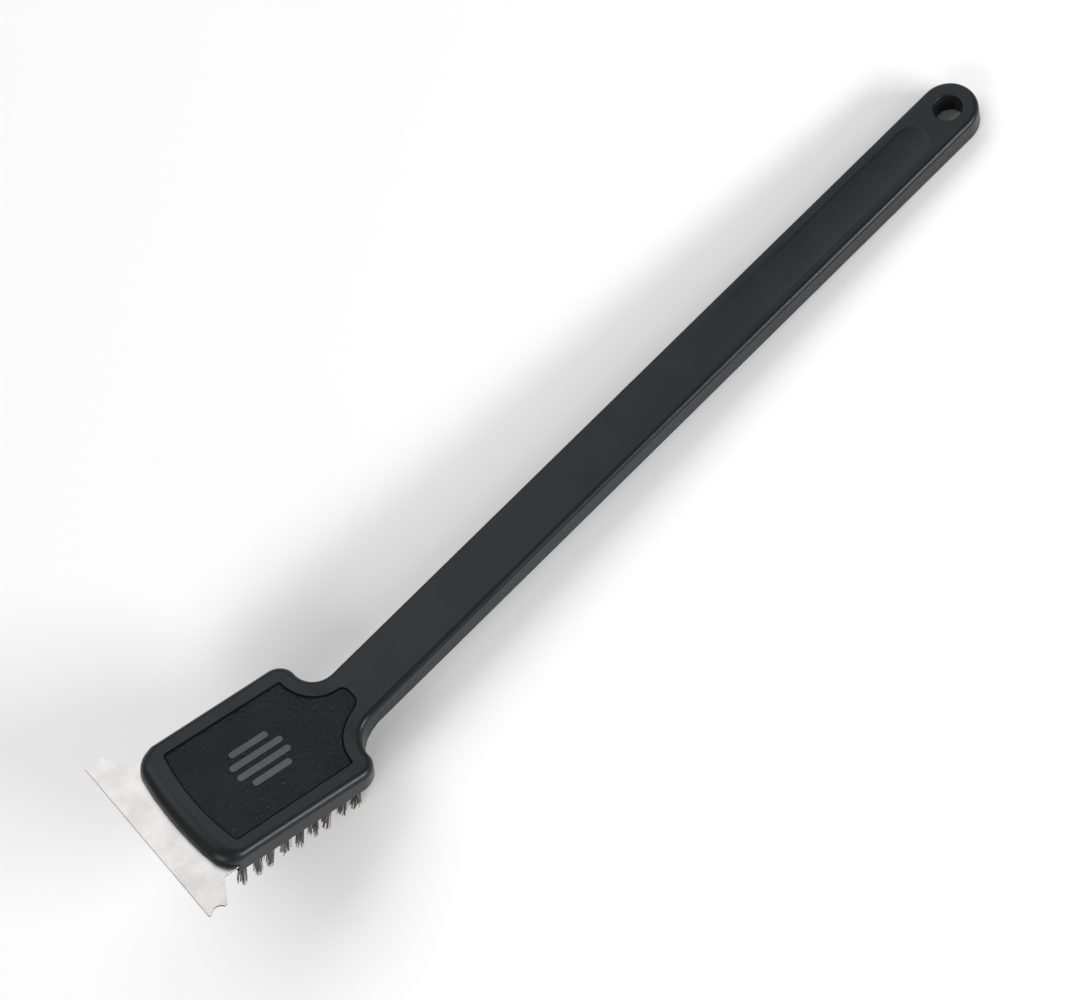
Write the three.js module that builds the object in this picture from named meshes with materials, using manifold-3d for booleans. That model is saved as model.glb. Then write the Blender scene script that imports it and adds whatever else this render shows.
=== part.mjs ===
// Grill cleaning brush: a cranked one-piece plastic handle and head, a T-shaped steel scraper,
// a screwed-on bristle block and its steel wire tufts. Millimetres, +Z up.
//
// Everything is drawn in the head's own frame: x runs from the front edge of the sunken panel
// towards the handle, y to the left, z up from the head's flat top face. The handle is drawn
// flat, as one plate with the head, and cranked up by bend(). The last lines pitch the whole
// brush back until it lies on its rear tufts and its handle end.
import * as THREE from "three";
import { mergeVertices } from "three/addons/utils/BufferGeometryUtils.js";
import Module from "manifold-3d";

const DEG = Math.PI / 180;
const GAP = 0.3; // clearance between pieces that touch on the real brush

// Moulding: head and handle in one piece
const PLATE = 12.4; // thickness of head and handle
const HEAD_HALF = 31.5; // half the width across the front corners
const EAR_HALF = 32.3; // half the width across the rear corners
const FRONT_X = -12; // foremost point of the head
const FRONT_R = 145; // bulge of the front edge
const CORNER_R = 10.5; // front corners, seen from above
const EAR_X = 58.9; // centre of the rounded rear corners
const EAR_R = 7.3;
const NECK_R = 11.3; // hollow between rear corner and handle
const NECK_HALF = 13; // half width where the handle begins
const END_HALF = 12.65; // half width, and radius, of the handle's end
const HOLE_S = 425.4; // hanging hole, measured along the top face from the panel's front edge
const HOLE_R = 5.9;
const HOLE_CHAMFER = 0.8;
const FRONT_ROUND = 6; // rounding of the top edge: front, sides, handle
const SIDE_ROUND = 3.2;
const HANDLE_ROUND = 2.4;
const BOTTOM_ROUND = 1.5; // rounding of the bottom edge
const PAST = 1; // how far cutters reach past the faces they cut

// Crank between head and handle
const CRANK = 27.5 * DEG;
const BEND_R = 30; // bend radius of the top face
const KINK_X = 68; // where the two top planes would meet
const BEND_START = KINK_X - BEND_R * Math.tan(CRANK / 2);
const BEND_END = BEND_START + BEND_R * CRANK;

// Sunken textured panel and thumb hollow
const PANEL_DEPTH = 0.6;
const PANEL_FRONT = -2.1;
const PANEL_FRONT_R = 108; // bulge of the panel's front edge
const SIDE_RIM = 7.1; // width of the raised rim along the sides
const NECK_RIM = 7.5; // and along the neck
const PANEL_CORNER_R = 1.5;
const PANEL_BLUNT = 0.5; // how far the pointed rear corners are cut back
const PANEL_TIP_S = 77.6;
const PANEL_TIP_R = 4.5;
const PANEL_TIP_Y = 2; // centre of the tip's rounding, either side of the middle
const DISH_HALF = 8.2;
const DISH_START = 265;
const DISH_END = 411.2;
const DISH_DEPTH = 0.6;

// Underside pocket, scraper, bristle block
const LIP_Z = -6.4; // underside of the front lip and ceiling of the pocket
const SKIRT_X = -3; // side walls begin here
const WALL = 3; // side wall thickness
const POCKET_END = 64;
const POCKET_R = 3;
const SCRAPER_T = 1;
const SCRAPER_FRONT = -25;
const SCRAPER_HALF = 41.6;
const TIP_CUT = 0.5; // blunted outer ends of the scraping edge
const TIP_FLAT = 1.4; // straight side between the scraping edge and the notch
const NOTCH_X = -20.6;
const NOTCH_R = 3.4;
const NOTCH_DEPTH = 1.7;
const FIN_X = -16; // rear tip of each fin
const FIN_CUT = 0.5;
const SHOULDER_X = -10.4;
const SHOULDER_HALF = 31.3;
const SHOULDER_CUT = 0.6;
const TANG_HALF = 26;
const TANG_END = 7.5;
const BLOCK_BOTTOM = -15.2;

// Tufts: four full rows and two short rows that leave room for the screws
const PITCH = 7.2;
const ROW_STEP = 10;
const FIRST_X = 3.2;
const ROWS = 6;
const FULL_ROW = 9;
const SHORT_ROW = 7;
const TUFT_TIP_Z = -35.2;
const TUFT_ROOT_Z = -9.5;
const TUFT_ROOT_R = 1.6;
const TUFT_TIP_R = 2.6;

// Screws
const SCREW_X = [4.4, 59.6];
const SCREW_Y = 1.5 * ROW_STEP;
const SHANK_R = 1.75;
const SCREW_HEAD_R = 2.9;
const SCREW_HEAD_H = 2.4;
const SCREW_TIP_Z = -2.6;
const POINT_H = 2; // length of the screw's point
const POINT_R = 0.4;
const HEAD_EDGE = 0.9; // rounding of the screw head's rim
const RECESS_L = 3.2; // cross recess
const RECESS_W = 0.8;
const RECESS_D = 1.3;

// Places of the tufts and the screws
const tufts = [];
for (let row = 0; row < ROWS; row++) {
  const short = row === 1 || row === ROWS - 2;
  const count = short ? SHORT_ROW : FULL_ROW;
  const first = short ? FIRST_X + PITCH : FIRST_X;
  for (let i = 0; i < count; i++)
    tufts.push({
      name: `tuft_${row + 1}_${i + 1}`,
      x: first + i * PITCH,
      y: (row - (ROWS - 1) / 2) * ROW_STEP,
    });
}
const screwPlaces = SCREW_X.flatMap((x, i) =>
  [1, -1].map((side) => ({
    name: `screw_${i === 0 ? "front" : "rear"}_${side > 0 ? "left" : "right"}`,
    x,
    y: side * SCREW_Y,
  })),
);

const blackPlastic = new THREE.MeshStandardMaterial({ color: 0x1d2022, roughness: 0.55, metalness: 0 });
const blockPlastic = new THREE.MeshStandardMaterial({ color: 0x141516, roughness: 0.65, metalness: 0 });
const stainless = new THREE.MeshStandardMaterial({ color: 0xd9d4cc, roughness: 0.35, metalness: 1 });
const wire = new THREE.MeshStandardMaterial({ color: 0x7d756b, roughness: 0.45, metalness: 1 });
const screwSteel = new THREE.MeshStandardMaterial({ color: 0xa9a9a6, roughness: 0.3, metalness: 1 });

const wasm = await Module();
wasm.setup();

// Closed geometry to manifold solid
function solid(geometry) {
  const bare = geometry.clone();
  bare.deleteAttribute("normal");
  bare.deleteAttribute("uv");
  const merged = mergeVertices(bare, 1e-4);
  return new wasm.Manifold(
    new wasm.Mesh({
      numProp: 3,
      vertProperties: new Float32Array(merged.attributes.position.array),
      triVerts: new Uint32Array(merged.index.array),
    }),
  );
}

// Manifold solid back to a flat-shaded geometry
function geometryOf(body) {
  const mesh = body.getMesh();
  const geometry = new THREE.BufferGeometry();
  geometry.setAttribute("position", new THREE.BufferAttribute(mesh.vertProperties, 3));
  geometry.setIndex(new THREE.BufferAttribute(mesh.triVerts, 1));
  const flat = geometry.toNonIndexed();
  flat.computeVertexNormals();
  return flat;
}

// Flat-plate place (s along the top face, y, n above it) to the head's frame, round the crank
function bend(s, y, n) {
  if (s <= BEND_START) return [s, y, n];
  const turn = Math.min((s - BEND_START) / BEND_R, CRANK);
  const beyond = Math.max(s - BEND_END, 0);
  const reach = BEND_R - n;
  return [
    BEND_START + reach * Math.sin(turn) + beyond * Math.cos(turn),
    y,
    BEND_R - reach * Math.cos(turn) + beyond * Math.sin(turn),
  ];
}

// Points of an arc, each with the outward normal of the outline; side is -1 on a hollow arc
function arc(cx, cy, r, from, to, steps, side = 1) {
  return Array.from({ length: steps + 1 }, (_, i) => {
    const a = from + ((to - from) * i) / steps;
    const [c, s] = [Math.cos(a), Math.sin(a)];
    return { s: cx + r * c, y: cy + r * s, ns: side * c, ny: side * s };
  });
}

// A closed plate from the left half of its outline, front to rear. levels(point) gives the
// section there, top to bottom, as [inset, height] pairs. Left and right points are joined
// across the plate, so that its faces follow the crank.
function plate(half, levels) {
  const rings = half.map((p) =>
    levels(p).map(([inset, n]) => [p.s - p.ns * inset, Math.max(p.y - p.ny * inset, 0), n]),
  );
  const depth = rings[0].length;
  const position = [];
  const put = (point, mirrored) => {
    position.push(...bend(point[0], mirrored ? -point[1] : point[1], point[2]));
  };
  const quad = (a, b, c, d) => {
    [a, b, c, a, c, d].forEach(([point, mirrored]) => put(point, mirrored));
  };
  for (let i = 0; i + 1 < rings.length; i++) {
    const [here, next] = [rings[i], rings[i + 1]];
    for (let k = 0; k + 1 < depth; k++) {
      quad([here[k], false], [next[k], false], [next[k + 1], false], [here[k + 1], false]);
      quad([here[k], true], [here[k + 1], true], [next[k + 1], true], [next[k], true]);
    }
    const last = depth - 1;
    quad([here[0], false], [here[0], true], [next[0], true], [next[0], false]);
    quad([here[last], false], [next[last], false], [next[last], true], [here[last], true]);
  }
  const geometry = new THREE.BufferGeometry();
  geometry.setAttribute("position", new THREE.Float32BufferAttribute(position, 3));
  return solid(geometry);
}

// A vertical prism between two heights in the head's frame
function prism(shape, low, high, curveSegments = 12) {
  const geometry = new THREE.ExtrudeGeometry(shape, { depth: high - low, bevelEnabled: false, curveSegments });
  return solid(geometry.translate(0, 0, low));
}

// A solid of revolution about the vertical through (x, y); profile is [radius, height] pairs
function turned(profile, x, y, segments) {
  const geometry = new THREE.LatheGeometry(
    profile.map(([r, z]) => new THREE.Vector2(r, z)),
    segments,
  );
  return solid(geometry.rotateX(Math.PI / 2).translate(x, y, 0));
}

// Left half of the moulding's outline
const cornerLean = Math.asin((HEAD_HALF - CORNER_R) / (FRONT_R - CORNER_R));
const cornerX = FRONT_X + FRONT_R - (FRONT_R - CORNER_R) * Math.cos(cornerLean);
const flare = Math.atan2(EAR_HALF - HEAD_HALF, EAR_X - cornerX);
const earY = EAR_HALF - EAR_R;
const neckY = NECK_HALF + NECK_R;
const neckS = EAR_X + Math.sqrt((EAR_R + NECK_R) ** 2 - (neckY - earY) ** 2);
const earTurn = Math.atan2(neckY - earY, neckS - EAR_X);

function roundAs(points, from, to) {
  points.forEach((p, i) => {
    p.round = from + ((to - from) * i) / (points.length - 1);
  });
  return points;
}

const outline = [
  ...roundAs(arc(FRONT_X + FRONT_R, 0, FRONT_R, Math.PI, Math.PI - cornerLean, 5), FRONT_ROUND, FRONT_ROUND),
  ...roundAs(
    arc(cornerX, HEAD_HALF - CORNER_R, CORNER_R, Math.PI - cornerLean, Math.PI / 2 + flare, 8),
    FRONT_ROUND,
    SIDE_ROUND,
  ).slice(1),
  ...roundAs(arc(EAR_X, earY, EAR_R, Math.PI / 2 + flare, earTurn, 8), SIDE_ROUND, SIDE_ROUND),
  ...roundAs(
    arc(neckS, neckY, NECK_R, Math.PI + earTurn, 1.5 * Math.PI, 9, -1),
    SIDE_ROUND,
    HANDLE_ROUND,
  ).slice(1),
  ...roundAs(arc(HOLE_S, 0, END_HALF, Math.PI / 2, 0, 8), HANDLE_ROUND, HANDLE_ROUND),
];

// Section of the moulding: rounded top edge, plain wall, rounded bottom edge
function mouldingLevels(point) {
  const top = [0, 22.5, 45, 67.5, 90].map((a) => [
    point.round * (1 - Math.sin(a * DEG)),
    point.round * (Math.cos(a * DEG) - 1),
  ]);
  const bottom = [90, 45, 0].map((a) => [
    BOTTOM_ROUND * (1 - Math.sin(a * DEG)),
    -PLATE + BOTTOM_ROUND * (1 - Math.cos(a * DEG)),
  ]);
  return [...top, ...bottom];
}

// Left half of the sunken panel: bulged front, straight sides, then parallel to the neck
function panelOutline() {
  const half = HEAD_HALF - SIDE_RIM;
  const inner = half - PANEL_CORNER_R;
  const lean = Math.asin(inner / (PANEL_FRONT_R - PANEL_CORNER_R));
  const cornerS = PANEL_FRONT + PANEL_FRONT_R - (PANEL_FRONT_R - PANEL_CORNER_R) * Math.cos(lean);
  const r = NECK_R + NECK_RIM;
  const corner = neckS - Math.sqrt(r ** 2 - (neckY - half) ** 2);
  const start = Math.PI + Math.asin((neckY - half + PANEL_BLUNT) / r);
  const stop = Math.PI + Math.asin((neckY - PANEL_TIP_Y - PANEL_TIP_R) / r);
  return [
    ...arc(PANEL_FRONT + PANEL_FRONT_R, 0, PANEL_FRONT_R, Math.PI, Math.PI - lean, 5),
    ...arc(cornerS, inner, PANEL_CORNER_R, Math.PI - lean, Math.PI / 2, 3),
    { s: corner - PANEL_BLUNT, y: half, ns: 0, ny: 1 },
    ...arc(neckS, neckY, r, start, stop, 10, -1),
    ...arc(PANEL_TIP_S - PANEL_TIP_R, PANEL_TIP_Y, PANEL_TIP_R, Math.PI / 2, 0, 6),
    { s: PANEL_TIP_S, y: 0, ns: 1, ny: 0 },
  ];
}

// Left half of the thumb hollow, a long stadium that runs out towards the head
const dishOutline = [
  { s: DISH_START, y: 0, ns: -1, ny: 0 },
  { s: DISH_START, y: DISH_HALF, ns: 0, ny: 1 },
  ...arc(DISH_END - DISH_HALF, 0, DISH_HALF, Math.PI / 2, 0, 8),
];

// Left half of the pocket in the head's underside, drawn in by an inset
function pocketOutline(inset) {
  const half = HEAD_HALF - WALL - inset;
  const end = POCKET_END - inset;
  return [
    { s: SKIRT_X + inset, y: 0, ns: -1, ny: 0 },
    { s: SKIRT_X + inset, y: half, ns: 0, ny: 1 },
    ...arc(end - POCKET_R, half - POCKET_R, POCKET_R, Math.PI / 2, 0, 5),
    { s: end, y: 0, ns: 1, ny: 0 },
  ];
}

const straight = (high, low) => () => [[0, high], [0, low]];

// Thumb hollow's section: deepest at the far end
const dishLevels = (point) => [
  [0, PAST],
  [0, (-DISH_DEPTH * (point.s - DISH_START)) / (DISH_END - DISH_START)],
];

// A block across the whole head between two places along it and two heights
function slab(from, to, low, high) {
  const wide = 2 * (EAR_HALF + PAST);
  const geometry = new THREE.BoxGeometry(to - from, wide, high - low);
  return solid(geometry.translate((from + to) / 2, 0, (low + high) / 2));
}

// Head and handle: plate, less panel, thumb hollow, underside pocket, front lip, pilot holes and hanging hole
function makeMoulding() {
  const bore = SHANK_R + GAP;
  const pilotTop = SCREW_TIP_Z + GAP;
  const pilot = [[0, -PLATE], [bore, -PLATE], [bore, pilotTop], [0, pilotTop]];
  const cutters = [
    plate(panelOutline(), straight(PAST, -PANEL_DEPTH)),
    plate(dishOutline, dishLevels),
    plate(pocketOutline(0), straight(LIP_Z, -PLATE - PAST)),
    slab(FRONT_X - PAST, SKIRT_X, -PLATE - PAST, LIP_Z),
    ...screwPlaces.map(({ x, y }) => turned(pilot, x, y, 12)),
    hangingHole(),
  ];
  return cutters.reduce((left, cutter) => left.subtract(cutter), plate(outline, mouldingLevels));
}

// Cutter for the hanging hole, square to the handle's faces, with both rims broken
function hangingHole() {
  const wide = HOLE_R + HOLE_CHAMFER;
  const profile = [
    [0, -PLATE - PAST],
    [wide, -PLATE - PAST],
    [wide, -PLATE],
    [HOLE_R, -PLATE + HOLE_CHAMFER],
    [HOLE_R, -HOLE_CHAMFER],
    [wide, 0],
    [wide, PAST],
    [0, PAST],
  ];
  const geometry = new THREE.LatheGeometry(
    profile.map(([r, z]) => new THREE.Vector2(r, z)),
    24,
  );
  const [x, , z] = bend(HOLE_S, 0, 0);
  return solid(geometry.rotateX(Math.PI / 2).rotateY(-CRANK).translate(x, 0, z));
}

// Left edge of the scraper's notch, a shallow arc cut into its side
function notch() {
  const centreY = SCRAPER_HALF - NOTCH_DEPTH + NOTCH_R;
  const reach = Math.acos((centreY - SCRAPER_HALF) / NOTCH_R);
  const points = arc(NOTCH_X, centreY, NOTCH_R, -Math.PI / 2 - reach, -Math.PI / 2 + reach, 8);
  return points.map(({ s, y }) => [s, y]);
}

// Scraper: wide scalloped front, fins, waist and the tang clamped over the bristle block
function makeScraper() {
  const side = [
    [SCRAPER_FRONT, SCRAPER_HALF - TIP_CUT],
    [SCRAPER_FRONT + TIP_CUT, SCRAPER_HALF],
    [SCRAPER_FRONT + TIP_FLAT, SCRAPER_HALF],
    ...notch(),
    [FIN_X - FIN_CUT, SCRAPER_HALF],
    [FIN_X, SCRAPER_HALF - FIN_CUT],
    [SHOULDER_X, SHOULDER_HALF],
    [SHOULDER_X + SHOULDER_CUT, SHOULDER_HALF],
    [SKIRT_X - GAP, SHOULDER_HALF],
    [SKIRT_X - GAP, TANG_HALF],
    [TANG_END, TANG_HALF],
  ];
  const right = side.map(([x, y]) => new THREE.Vector2(x, -y));
  const left = side.map(([x, y]) => new THREE.Vector2(x, y)).reverse();
  const shape = new THREE.Shape([...right, ...left]);
  for (const sign of [1, -1]) {
    const hole = new THREE.Path();
    hole.absarc(SCREW_X[0], sign * SCREW_Y, SHANK_R + GAP, 0, 2 * Math.PI, true);
    shape.holes.push(hole);
  }
  const top = LIP_Z - GAP;
  return prism(shape, top - SCRAPER_T, top, 6);
}

// Bristle block: fills the pocket, stepped down in front under the scraper's tang
function makeBlock() {
  const top = LIP_Z - GAP;
  const low = BLOCK_BOTTOM - PAST;
  const hole = TUFT_ROOT_R + GAP;
  const socket = [[0, low], [hole, low], [hole, TUFT_ROOT_Z + GAP], [0, TUFT_ROOT_Z + GAP]];
  const [bore, sink] = [SHANK_R + GAP, SCREW_HEAD_R + GAP];
  const seat = BLOCK_BOTTOM + SCREW_HEAD_H + GAP;
  const counterbore = [[0, low], [sink, low], [sink, seat], [bore, seat], [bore, 0], [0, 0]];
  const cutters = [
    slab(SKIRT_X, TANG_END + GAP, top - SCRAPER_T - GAP, 0),
    ...tufts.map(({ x, y }) => turned(socket, x, y, 8)),
    ...screwPlaces.map(({ x, y }) => turned(counterbore, x, y, 16)),
  ];
  const blank = plate(pocketOutline(GAP), straight(top, BLOCK_BOTTOM));
  return cutters.reduce((left, cutter) => left.subtract(cutter), blank);
}

// Pan-head screw with a cross recess, driven up through the block into the moulding
function makeScrew(x, y) {
  const seat = BLOCK_BOTTOM + SCREW_HEAD_H;
  const body = turned(
    [
      [0, BLOCK_BOTTOM],
      [SCREW_HEAD_R - HEAD_EDGE, BLOCK_BOTTOM],
      [SCREW_HEAD_R, BLOCK_BOTTOM + HEAD_EDGE],
      [SCREW_HEAD_R, seat],
      [SHANK_R, seat],
      [SHANK_R, SCREW_TIP_Z - POINT_H],
      [POINT_R, SCREW_TIP_Z],
      [0, SCREW_TIP_Z],
    ],
    x,
    y,
    16,
  );
  const slots = [
    new THREE.BoxGeometry(RECESS_L, RECESS_W, 2 * RECESS_D),
    new THREE.BoxGeometry(RECESS_W, RECESS_L, 2 * RECESS_D),
  ];
  return slots.reduce((left, slot) => left.subtract(solid(slot.translate(x, y, BLOCK_BOTTOM))), body);
}

// One bundle of wires: its root in the block, flared to the trimmed tips
function makeTuft({ x, y }) {
  return turned(
    [
      [0, TUFT_TIP_Z],
      [TUFT_TIP_R, TUFT_TIP_Z],
      [TUFT_ROOT_R, BLOCK_BOTTOM - GAP],
      [TUFT_ROOT_R, TUFT_ROOT_Z],
      [0, TUFT_ROOT_Z],
    ],
    x,
    y,
    8,
  );
}

const head = new THREE.Group(); // the head's own frame

function add(name, body, material) {
  const mesh = new THREE.Mesh(geometryOf(body), material);
  mesh.name = name;
  head.add(mesh);
}

add("handle_and_head", makeMoulding(), blackPlastic);
add("scraper_blade", makeScraper(), stainless);
add("bristle_block", makeBlock(), blockPlastic);
screwPlaces.forEach(({ name, x, y }) => add(name, makeScrew(x, y), screwSteel));
tufts.forEach((tuft) => add(tuft.name, makeTuft(tuft), wire));

// Pitch back until the rear tufts' tips and the rounded underside of the handle's end are level
const rearTip = [FIRST_X + (FULL_ROW - 1) * PITCH + TUFT_TIP_R, TUFT_TIP_Z];
const [endX, , endZ] = bend(HOLE_S + END_HALF - BOTTOM_ROUND, 0, BOTTOM_ROUND - PLATE);
const [runX, runZ] = [endX - rearTip[0], endZ - rearTip[1]];
head.rotation.y = Math.atan2(runZ, runX) - Math.asin(BOTTOM_ROUND / Math.hypot(runX, runZ));

// Origin at the middle of the underside of the whole brush's box
const brush = new THREE.Group();
brush.add(head);
brush.updateMatrixWorld(true);
const box = new THREE.Box3().setFromObject(head, true);
head.position.set(-(box.min.x + box.max.x) / 2, -(box.min.y + box.max.y) / 2, -box.min.z);

export default brush;
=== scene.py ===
import math
import random

import bpy
import numpy as np
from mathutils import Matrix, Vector
from mathutils.geometry import delaunay_2d_cdt


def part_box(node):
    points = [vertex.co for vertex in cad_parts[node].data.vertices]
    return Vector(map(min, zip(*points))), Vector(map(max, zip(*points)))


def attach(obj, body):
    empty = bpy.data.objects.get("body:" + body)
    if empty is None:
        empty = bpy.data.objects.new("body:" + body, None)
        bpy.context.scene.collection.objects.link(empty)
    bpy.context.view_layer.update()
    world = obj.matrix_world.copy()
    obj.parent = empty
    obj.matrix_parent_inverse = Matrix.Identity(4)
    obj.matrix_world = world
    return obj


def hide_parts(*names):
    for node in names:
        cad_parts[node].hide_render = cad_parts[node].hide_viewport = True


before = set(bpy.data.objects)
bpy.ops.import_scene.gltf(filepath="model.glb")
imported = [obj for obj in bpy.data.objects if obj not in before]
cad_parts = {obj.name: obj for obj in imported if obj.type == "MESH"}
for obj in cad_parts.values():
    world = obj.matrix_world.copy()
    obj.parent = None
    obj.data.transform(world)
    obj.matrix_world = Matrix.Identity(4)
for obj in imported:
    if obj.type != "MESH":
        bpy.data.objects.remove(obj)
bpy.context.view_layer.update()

MM = 0.001
DEG = math.pi / 180

# ---------------------------------------------------------------- dimensions, mm, as in the part
PLATE = 12.4
HEAD_HALF = 31.5
EAR_HALF = 32.3
FRONT_X = -12
FRONT_R = 145
CORNER_R = 10.5
EAR_X = 58.9
EAR_R = 7.3
NECK_R = 11.3
NECK_HALF = 13
END_HALF = 12.65
HOLE_S = 425.4
HOLE_R = 5.9
HOLE_ROUND = 0.8
FRONT_ROUND = 6
SIDE_ROUND = 3.2
HANDLE_ROUND = 2.4
BOTTOM_ROUND = 1.5
LIP_ROUND = 0.5

CRANK = 27.5 * DEG
BEND_R = 30
KINK_X = 68
BEND_START = KINK_X - BEND_R * math.tan(CRANK / 2)
BEND_END = BEND_START + BEND_R * CRANK

PANEL_DEPTH = 0.6
PANEL_FRONT = -2.1
PANEL_FRONT_R = 108
PANEL_HALF = HEAD_HALF - 7.1
PANEL_NECK_R = NECK_R + 7.5
PANEL_CORNER_R = 1.6
PANEL_EAR_R = 0.9
PANEL_TIP_S = 77.6
PANEL_TIP_Y = 1.6
DISH_HALF = 8.2
DISH_START = 265
DISH_END = 411.2
DISH_DEPTH = 0.6
STEP_WIDTH = 0.3  # width of the drafted step round the panel
GROOVE_WIDTH = 0.85  # groove along the foot of that step
GROOVE_SHARE = 1.3  # its depth, as a share of the panel's
DISH_STEP = 1  # width of the soft step round the thumb hollow
DISH_STEP_SHARE = 0.4  # share of the hollow's depth in that step
DISH_MIDDLE = 0.1  # half width left at the hollow's middle line

LIP_Z = -6.4
SKIRT_X = -3
WALL = 3
POCKET_END = 64
BLOCK_END = 64.4
POCKET_R = 3
GAP = 0.3

SCRAPER_T = 1
SCRAPER_FRONT = -25
SCRAPER_HALF = 41.6
NOTCH_X = -20.6
NOTCH_R = 3.4
NOTCH_DEPTH = 1.7
FIN_X = -16
SHOULDER_X = -10.4
SHOULDER_HALF = 31.3
TANG_HALF = 26
TANG_END = 7.5
SCRAPER_TOP = LIP_Z - GAP

BLOCK_TOP = LIP_Z - GAP
BLOCK_BOTTOM = -15.2
PITCH = 7.2
ROW_STEP = 10
FIRST_X = 3.2
ROWS = 6
TUFT_TIP_Z = -35.2
TUFT_ROOT_Z = -9.5
TUFT_ROOT_R = 1.6
TUFT_TIP_R = 2.6
SCREW_X = (4.4, 59.6)
SCREW_Y = 1.5 * ROW_STEP
SHANK_R = 1.75
SCREW_HEAD_R = 2.9
SCREW_HEAD_H = 2.4


# ---------------------------------------------------------------- frames
def bend(s, y, n):
    """Flat-plate place to the head's frame, round the crank."""
    if s <= BEND_START:
        return s, y, n
    turn = min((s - BEND_START) / BEND_R, CRANK)
    beyond = max(s - BEND_END, 0)
    reach = BEND_R - n
    return (
        BEND_START + reach * math.sin(turn) + beyond * math.cos(turn),
        y,
        BEND_R - reach * math.cos(turn) + beyond * math.sin(turn),
    )


def bend_normal(s, v):
    """The normal v of the flat plate, turned with it round the crank."""
    turn = min(max((s - BEND_START) / BEND_R, 0), CRANK)
    c, k = math.cos(turn), math.sin(turn)
    return v[0] * c - v[2] * k, v[1], v[0] * k + v[2] * c


def head_pitch():
    """Angle that puts the rear tuft tips and the handle's end on the floor."""
    tip = (FIRST_X + 8 * PITCH + TUFT_TIP_R, TUFT_TIP_Z)
    end = bend(HOLE_S + END_HALF - BOTTOM_ROUND, 0, BOTTOM_ROUND - PLATE)
    run = (end[0] - tip[0], end[2] - tip[1])
    return math.atan2(run[1], run[0]) - math.asin(BOTTOM_ROUND / math.hypot(*run))


PITCH_COS, PITCH_SIN = math.cos(head_pitch()), math.sin(head_pitch())
scraper_low, scraper_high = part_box("scraper_blade")
SHIFT_X = scraper_low.x / MM - (SCRAPER_FRONT * PITCH_COS + (SCRAPER_TOP - SCRAPER_T) * PITCH_SIN)
SHIFT_Z = scraper_high.z / MM - (-SCRAPER_FRONT * PITCH_SIN + SCRAPER_TOP * PITCH_COS)


def to_row(p):
    """Millimetres in the head's frame to metres in the part's, where the brush lies on the floor."""
    x, y, z = p
    return (
        (x * PITCH_COS + z * PITCH_SIN + SHIFT_X) * MM,
        y * MM,
        (-x * PITCH_SIN + z * PITCH_COS + SHIFT_Z) * MM,
    )


def normal_to_row(v):
    x, y, z = v
    return x * PITCH_COS + z * PITCH_SIN, y, -x * PITCH_SIN + z * PITCH_COS


def circle(count):
    """Angles all the way round."""
    return [2 * math.pi * i / count for i in range(count)]


def round_loop(x, y, r, count):
    return [(x + r * math.cos(a), y + r * math.sin(a)) for a in circle(count)]


def unit(v):
    length = math.sqrt(sum(c * c for c in v)) or 1
    return tuple(c / length for c in v)


class Skin:
    """A mesh in the making: welded vertices, and a normal of its own at every face corner."""

    def __init__(self, bent=False):
        self.bent = bent
        self.verts, self.index = [], {}
        self.faces, self.normals, self.slots = [], [], []

    def corner(self, p):
        place = bend(*p) if self.bent else p
        key = tuple(round(c, 3) for c in place)
        if key not in self.index:
            self.index[key] = len(self.verts)
            self.verts.append(to_row(place))
        return self.index[key]

    def face(self, points, normals, slot=0):
        ids, kept = [], []
        for p, v in zip(points, normals):
            i = self.corner(p)
            if i in ids:
                continue
            ids.append(i)
            v = unit(v)
            kept.append(normal_to_row(bend_normal(p[0], v) if self.bent else v))
        if len(ids) < 3:
            return
        a, b, c = (Vector(self.verts[i]) for i in ids[:3])
        across = (b - a).cross(c - a)
        if across.dot(Vector(kept[0]) + Vector(kept[1]) + Vector(kept[2])) < 0:
            ids.reverse()
            kept.reverse()
        self.faces.append(ids)
        self.normals.extend(kept)
        self.slots.append(slot)

    def strip(self, a, b, na, nb, closed=False):
        """Band of faces between two rows of points, with their normals."""
        count = len(a)
        for i in range(count if closed else count - 1):
            j = (i + 1) % count
            self.face([a[i], a[j], b[j], b[i]], [na[i], na[j], nb[j], nb[i]])

    def stack(self, rows):
        """Closed bands from each (points, normals) to the next."""
        for (a, na), (b, nb) in zip(rows, rows[1:]):
            self.strip(a, b, na, nb, closed=True)

    def build(self, name, materials):
        mesh = bpy.data.meshes.new(name)
        mesh.from_pydata(self.verts, [], self.faces)
        for m in materials:
            mesh.materials.append(m)
        mesh.polygons.foreach_set("material_index", self.slots)
        mesh.polygons.foreach_set("use_smooth", [True] * len(self.faces))
        mesh.update()
        mesh.normals_split_custom_set(self.normals)
        obj = bpy.data.objects.new(name, mesh)
        bpy.context.scene.collection.objects.link(obj)
        return obj


# ---------------------------------------------------------------- outlines
def arc(cx, cy, r, start, stop, steps, side=1):
    """[s, y, ns, ny] along an arc; side is -1 on a hollow one."""
    out = []
    for i in range(steps + 1):
        a = start + (stop - start) * i / steps
        c, k = math.cos(a), math.sin(a)
        out.append([cx + r * c, cy + r * k, side * c, side * k])
    return out


def chain(*parts):
    """Joins outline pieces, dropping doubled points."""
    out = []
    for p in (p for part in parts for p in part):
        if not out or math.hypot(p[0] - out[-1][0], p[1] - out[-1][1]) > 1e-4:
            out.append(list(p))
    return out


def both_sides(half):
    """Closed loop from the left half: front to rear on the left, then rear to front on the right."""
    right = [[p[0], -p[1], p[2], -p[3], *p[4:]] for p in reversed(half) if p[1] > 1e-6]
    return half + right


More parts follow.
